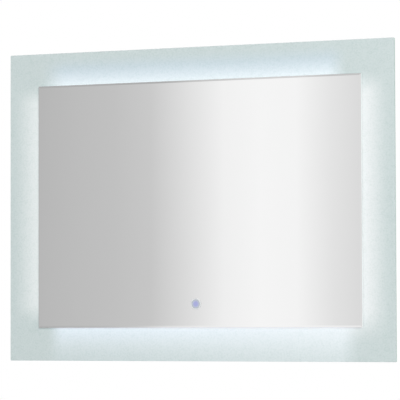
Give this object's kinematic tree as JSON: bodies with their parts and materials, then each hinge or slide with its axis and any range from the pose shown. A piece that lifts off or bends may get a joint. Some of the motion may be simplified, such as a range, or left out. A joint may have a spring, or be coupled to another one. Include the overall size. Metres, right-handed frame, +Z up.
{
  "type": "lighted bathroom mirror",
  "caption": "Wall mirror: bevelled pane on a wider frosted glass panel lit round its edge, round touch key at the foot, rear metal frame that hooks on a wall rail.",
  "frame": {"origin": "middle of the wall rail's screw line, on the wall plane", "axes": "+X to the viewer's right, +Y into the wall (the mirror faces -Y), +Z up"},
  "size_m": [0.8, 0.043, 0.6],
  "materials": {
    "frosted_glass": "acid-etched float glass with ground edges",
    "mirror_silver": "silvered float glass, clear bevel",
    "frame_aluminium": "satin anodised extrusion",
    "rail_steel": "powder-coated sheet steel",
    "crossbar_steel": "powder-coated sheet steel",
    "corner_key_cast": "die-cast, as cast",
    "screw_zinc": "zinc-plated",
    "foam_tape": "white foam, matt",
    "strip_circuit": "white solder mask",
    "light_chip": "white housing with phosphor",
    "black_rubber": "moulded, matt",
    "switch_bezel": "polished, light grey",
    "switch_lens": "translucent, lit from behind",
    "switch_plastic": "white moulding, fine grain",
    "circuit_board": "green solder mask",
    "driver_plastic": "white moulding, fine grain",
    "gland_nylon": "grey nylon",
    "lead_sheath": "white, satin",
    "lead_sleeve_small": "white, satin",
    "terminal_plastic": "green moulding",
    "ferrite_core": "dark ferrite and yellow tape",
    "capacitor_sleeve": "shrunk sleeve",
    "heat_sink_plate": "bare sheet"
  },
  "bodies": {
    "wall": {"wall_rail": "rail_steel"},
    "mirror": {"cable_clips": "switch_plastic", "corner_key_screws": "screw_zinc", "corner_keys": "corner_key_cast", "crossbar_screws": "screw_zinc", "driver_board": "circuit_board", "driver_board_screws": "screw_zinc", "driver_case": "driver_plastic", "driver_lid": "driver_plastic", "driver_lid_screws": "screw_zinc", "driver_tape": "foam_tape", "feed_grommet": "black_rubber", "feed_lead": "lead_sheath", "filter_choke": "ferrite_core", "frame_bottom": "frame_aluminium", "frame_left": "frame_aluminium", "frame_right": "frame_aluminium", "frame_tape": "foam_tape", "frame_top": "frame_aluminium", "frosted_glass_panel": "frosted_glass", "hanging_crossbar": "crossbar_steel", "heat_sink": "heat_sink_plate", "jumper_bottom_left": "lead_sleeve_small", "jumper_top_left": "lead_sleeve_small", "jumper_top_right": "lead_sleeve_small", "light_chips_bottom": "light_chip", "light_chips_left": "light_chip", "light_chips_right": "light_chip", "light_chips_top": "light_chip", "light_strip_bottom": "strip_circuit", "light_strip_left": "strip_circuit", "light_strip_right": "strip_circuit", "light_strip_top": "strip_circuit", "mains_capacitor": "capacitor_sleeve", "mains_gland_body": "gland_nylon", "mains_gland_dome_nut": "gland_nylon", "mains_gland_locknut": "gland_nylon", "mains_terminal": "terminal_plastic", "mirror_pane": "mirror_silver", "output_capacitor": "capacitor_sleeve", "output_grommet": "black_rubber", "output_terminal": "terminal_plastic", "pane_tape": "foam_tape", "smoothing_capacitor": "capacitor_sleeve", "supply_lead": "lead_sheath", "touch_switch_bezel": "switch_bezel", "touch_switch_board": "circuit_board", "touch_switch_cap": "switch_plastic", "touch_switch_gasket": "black_rubber", "touch_switch_lens": "switch_lens", "touch_switch_nut": "switch_plastic", "transformer": "ferrite_core", "wall_buffers": "black_rubber"}
  },
  "joints": [
    {"name": "mirror_lift", "type": "slide", "parent": "wall", "child": "mirror", "axis": [0, 0, 1], "range_m": [0, 0.014]}
  ]
}
